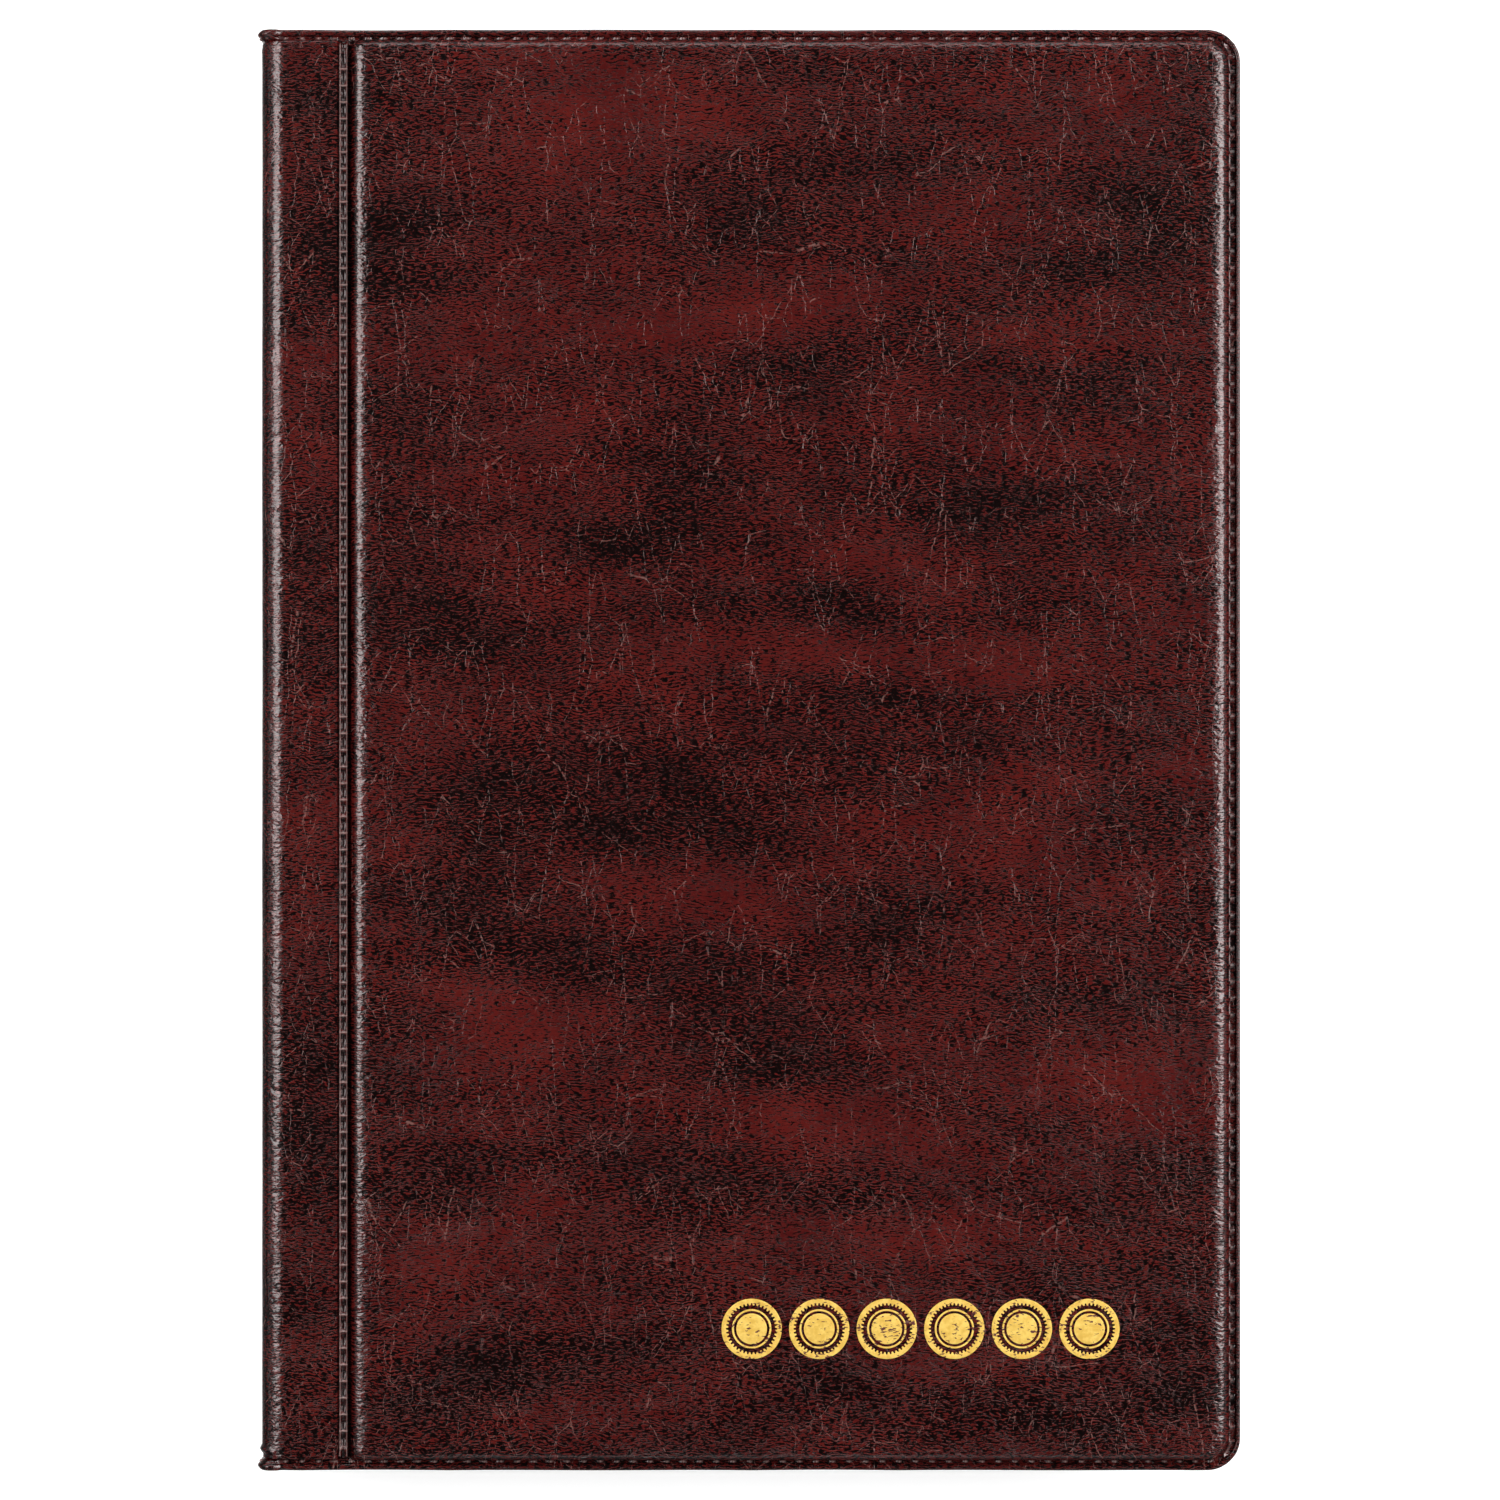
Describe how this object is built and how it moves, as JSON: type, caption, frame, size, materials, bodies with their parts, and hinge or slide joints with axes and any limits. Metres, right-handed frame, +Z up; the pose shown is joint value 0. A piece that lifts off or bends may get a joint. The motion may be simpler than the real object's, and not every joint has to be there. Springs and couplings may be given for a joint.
{
  "type": "coin album",
  "caption": "Closed padded leatherette album with a flexible welded spine, holding clear pocket leaves for coins on a screw-post binding.",
  "frame": {"origin": "middle of the closed album's footprint, on the surface under its back cover", "axes": "+X from the spine to the fore edge, +Y to the head of the album, +Z up, out of the front cover"},
  "size_m": [0.15, 0.2206, 0.0221],
  "materials": {
    "leatherette": "satin grained PVC leatherette, burgundy with black marbling",
    "lining": "matte dark film",
    "foam": "matte foam",
    "greyboard": "matte board",
    "post_metal": "satin nickel plate",
    "spacer_plastic": "matte",
    "clear_film": "gloss clear vinyl",
    "pocket_film": "gloss clear vinyl",
    "gold_foil": "satin hot-stamped foil"
  },
  "bodies": {
    "back_cover": {"back_skin": "leatherette", "back_pad": "foam", "back_board": "greyboard", "back_lining": "lining"},
    "binding_block": {"spine_skin": "leatherette", "spine_card": "greyboard", "spine_lining": "lining", "back_hinge_weld": "leatherette", "front_hinge_weld": "leatherette", "back_hinge_flap": "lining", "front_hinge_flap": "lining", "binding_posts": "post_metal", "binding_screws": "post_metal", "leaf_spacers": "spacer_plastic", "leaf_binding_edges": "clear_film"},
    "front_cover": {"front_lining": "lining", "front_board": "greyboard", "front_pad": "foam", "front_skin": "leatherette", "foil_stamp": "gold_foil"},
    "leaf_01": {"leaf_01_film": "clear_film", "leaf_01_pockets": "pocket_film", "leaf_01_seams": "clear_film"},
    "leaf_02": {"leaf_02_film": "clear_film", "leaf_02_pockets": "pocket_film", "leaf_02_seams": "clear_film"},
    "leaf_03": {"leaf_03_film": "clear_film", "leaf_03_pockets": "pocket_film", "leaf_03_seams": "clear_film"},
    "leaf_04": {"leaf_04_film": "clear_film", "leaf_04_pockets": "pocket_film", "leaf_04_seams": "clear_film"},
    "leaf_05": {"leaf_05_film": "clear_film", "leaf_05_pockets": "pocket_film", "leaf_05_seams": "clear_film"},
    "leaf_06": {"leaf_06_film": "clear_film", "leaf_06_pockets": "pocket_film", "leaf_06_seams": "clear_film"},
    "leaf_07": {"leaf_07_film": "clear_film", "leaf_07_pockets": "pocket_film", "leaf_07_seams": "clear_film"},
    "leaf_08": {"leaf_08_film": "clear_film", "leaf_08_pockets": "pocket_film", "leaf_08_seams": "clear_film"},
    "leaf_09": {"leaf_09_film": "clear_film", "leaf_09_pockets": "pocket_film", "leaf_09_seams": "clear_film"},
    "leaf_10": {"leaf_10_film": "clear_film", "leaf_10_pockets": "pocket_film", "leaf_10_seams": "clear_film"},
    "leaf_11": {"leaf_11_film": "clear_film", "leaf_11_pockets": "pocket_film", "leaf_11_seams": "clear_film"},
    "leaf_12": {"leaf_12_film": "clear_film", "leaf_12_pockets": "pocket_film", "leaf_12_seams": "clear_film"}
  },
  "joints": [
    {"name": "back_cover_fold", "type": "hinge", "parent": "back_cover", "child": "binding_block", "pos_m": [-0.0621, 0, -0.00015], "axis": [0, 1, 0], "range_deg": [-90, 0]},
    {"name": "front_cover_fold", "type": "hinge", "parent": "binding_block", "child": "front_cover", "pos_m": [-0.0621, 0, 0.02225], "axis": [0, -1, 0], "range_deg": [0, 178]},
    {"name": "leaf_01_turn", "type": "hinge", "parent": "binding_block", "child": "leaf_01", "pos_m": [-0.0621, 0, 0.02225], "axis": [0, -1, 0], "range_deg": [0, 178]},
    {"name": "leaf_02_turn", "type": "hinge", "parent": "binding_block", "child": "leaf_02", "pos_m": [-0.0621, 0, 0.02225], "axis": [0, -1, 0], "range_deg": [0, 178]},
    {"name": "leaf_03_turn", "type": "hinge", "parent": "binding_block", "child": "leaf_03", "pos_m": [-0.0621, 0, 0.02225], "axis": [0, -1, 0], "range_deg": [0, 178]},
    {"name": "leaf_04_turn", "type": "hinge", "parent": "binding_block", "child": "leaf_04", "pos_m": [-0.0621, 0, 0.02225], "axis": [0, -1, 0], "range_deg": [0, 178]},
    {"name": "leaf_05_turn", "type": "hinge", "parent": "binding_block", "child": "leaf_05", "pos_m": [-0.0621, 0, 0.02225], "axis": [0, -1, 0], "range_deg": [0, 178]},
    {"name": "leaf_06_turn", "type": "hinge", "parent": "binding_block", "child": "leaf_06", "pos_m": [-0.0621, 0, 0.02225], "axis": [0, -1, 0], "range_deg": [0, 178]},
    {"name": "leaf_07_turn", "type": "hinge", "parent": "binding_block", "child": "leaf_07", "pos_m": [-0.0621, 0, 0.02225], "axis": [0, -1, 0], "range_deg": [0, 178]},
    {"name": "leaf_08_turn", "type": "hinge", "parent": "binding_block", "child": "leaf_08", "pos_m": [-0.0621, 0, 0.02225], "axis": [0, -1, 0], "range_deg": [0, 178]},
    {"name": "leaf_09_turn", "type": "hinge", "parent": "binding_block", "child": "leaf_09", "pos_m": [-0.0621, 0, 0.02225], "axis": [0, -1, 0], "range_deg": [0, 178]},
    {"name": "leaf_10_turn", "type": "hinge", "parent": "binding_block", "child": "leaf_10", "pos_m": [-0.0621, 0, 0.02225], "axis": [0, -1, 0], "range_deg": [0, 178]},
    {"name": "leaf_11_turn", "type": "hinge", "parent": "binding_block", "child": "leaf_11", "pos_m": [-0.0621, 0, 0.02225], "axis": [0, -1, 0], "range_deg": [0, 178]},
    {"name": "leaf_12_turn", "type": "hinge", "parent": "binding_block", "child": "leaf_12", "pos_m": [-0.0621, 0, 0.02225], "axis": [0, -1, 0], "range_deg": [0, 178]}
  ],
  "couplings": [
    {"joint": "leaf_01_turn", "follows": "front_cover_fold", "ratio": 0.0769},
    {"joint": "leaf_02_turn", "follows": "front_cover_fold", "ratio": 0.1538},
    {"joint": "leaf_03_turn", "follows": "front_cover_fold", "ratio": 0.2308},
    {"joint": "leaf_04_turn", "follows": "front_cover_fold", "ratio": 0.3077},
    {"joint": "leaf_05_turn", "follows": "front_cover_fold", "ratio": 0.3846},
    {"joint": "leaf_06_turn", "follows": "front_cover_fold", "ratio": 0.4615},
    {"joint": "leaf_07_turn", "follows": "front_cover_fold", "ratio": 0.5385},
    {"joint": "leaf_08_turn", "follows": "front_cover_fold", "ratio": 0.6154},
    {"joint": "leaf_09_turn", "follows": "front_cover_fold", "ratio": 0.6923},
    {"joint": "leaf_10_turn", "follows": "front_cover_fold", "ratio": 0.7692},
    {"joint": "leaf_11_turn", "follows": "front_cover_fold", "ratio": 0.8462},
    {"joint": "leaf_12_turn", "follows": "front_cover_fold", "ratio": 0.9231}
  ]
}
